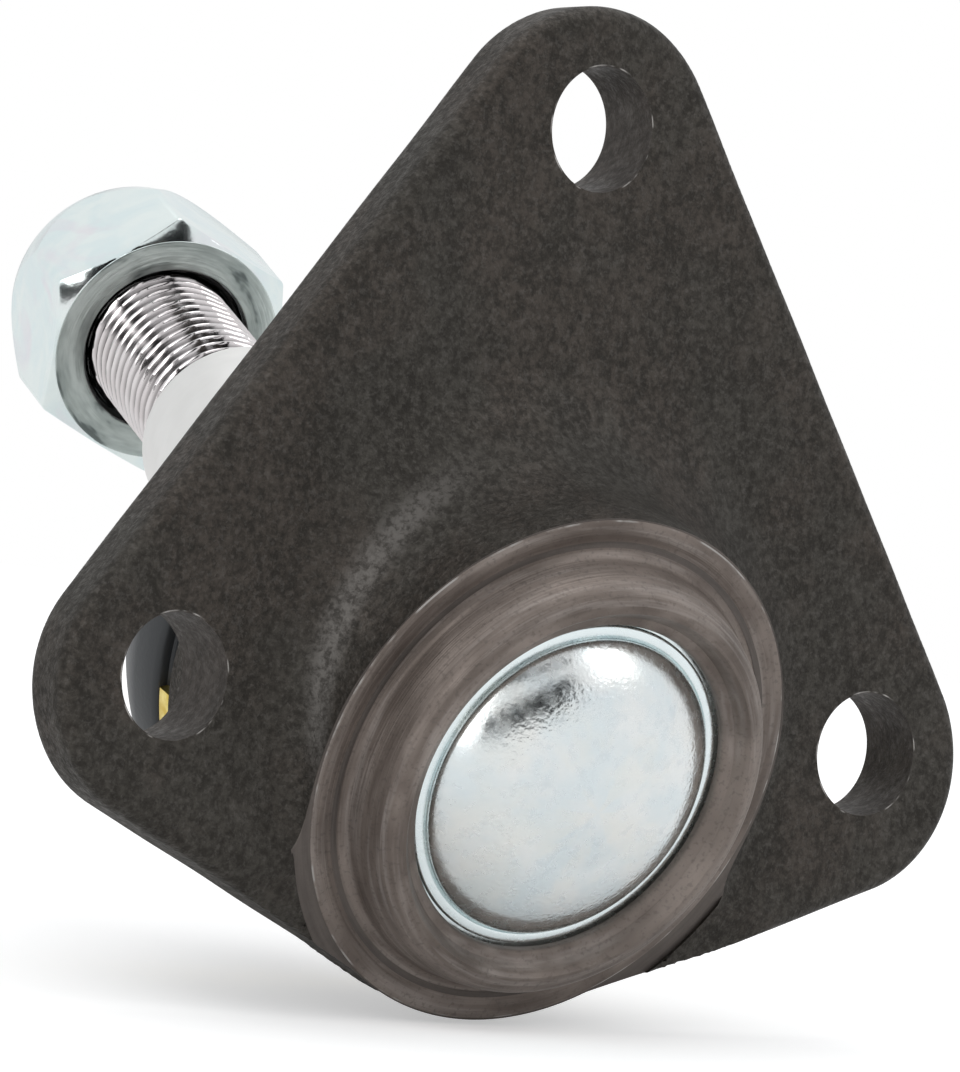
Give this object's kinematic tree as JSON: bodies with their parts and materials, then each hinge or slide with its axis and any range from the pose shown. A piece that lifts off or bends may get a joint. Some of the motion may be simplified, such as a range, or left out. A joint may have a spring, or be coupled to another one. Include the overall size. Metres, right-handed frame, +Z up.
{
  "type": "suspension ball joint",
  "caption": "Bolt-on suspension ball joint: forged triangular flange with a leaning boss, rolled-over domed cap, tapered threaded ball stud, rubber dust boot and hexagon nut.",
  "frame": {"origin": "the centre of the ball, which the stud swings about", "axes": "+Z up the flange's line of symmetry towards the upper bolt hole, +Y square to the flange towards the stud side, X along the two lower holes"},
  "size_m": [0.097, 0.1156, 0.0877],
  "materials": {
    "forged_steel": "forged scale, dark grey brown, with turned lip and ledge",
    "zinc_plate": "bright bluish zinc plating",
    "black_rubber": "smooth moulded black rubber",
    "spring_steel": "drawn spring steel",
    "bearing_seat": "sintered bearing steel",
    "ground_steel": "matt ground taper and bright rolled thread",
    "yellow_zinc": "yellow passivated zinc plating"
  },
  "bodies": {
    "housing": {"housing": "forged_steel", "end_cap": "zinc_plate", "cap_seal": "black_rubber", "preload_spring": "spring_steel", "lower_seat": "bearing_seat", "upper_seat": "bearing_seat", "boot_base_ring": "yellow_zinc"},
    "boot": {"boot": "black_rubber"},
    "boot_neck": {"boot_neck_ring": "spring_steel"},
    "stud": {"ball_stud": "ground_steel"},
    "nut": {"hex_nut": "zinc_plate"}
  },
  "joints": [
    {"name": "side_swing", "type": "hinge", "parent": "housing", "child": "boot", "pos_m": [0, 0, 0], "axis": [0, 0.3535, -0.9354], "range_deg": [-33.5, 6.5], "deforming": ["boot"]},
    {"name": "fore_swing", "type": "hinge", "parent": "boot", "child": "boot_neck", "pos_m": [0, 0, 0], "axis": [0.9724, -0.2184, -0.0825], "range_deg": [-20, 20], "deforming": ["boot"]},
    {"name": "stud_spin", "type": "hinge", "parent": "boot_neck", "child": "stud", "pos_m": [0, 0, 0], "axis": [0.2334, 0.9096, 0.3437], "continuous": true},
    {"name": "nut_turn", "type": "hinge", "parent": "stud", "child": "nut", "pos_m": [0.01814, 0.07068, 0.02671], "axis": [0.2334, 0.9096, 0.3437], "continuous": true}
  ]
}
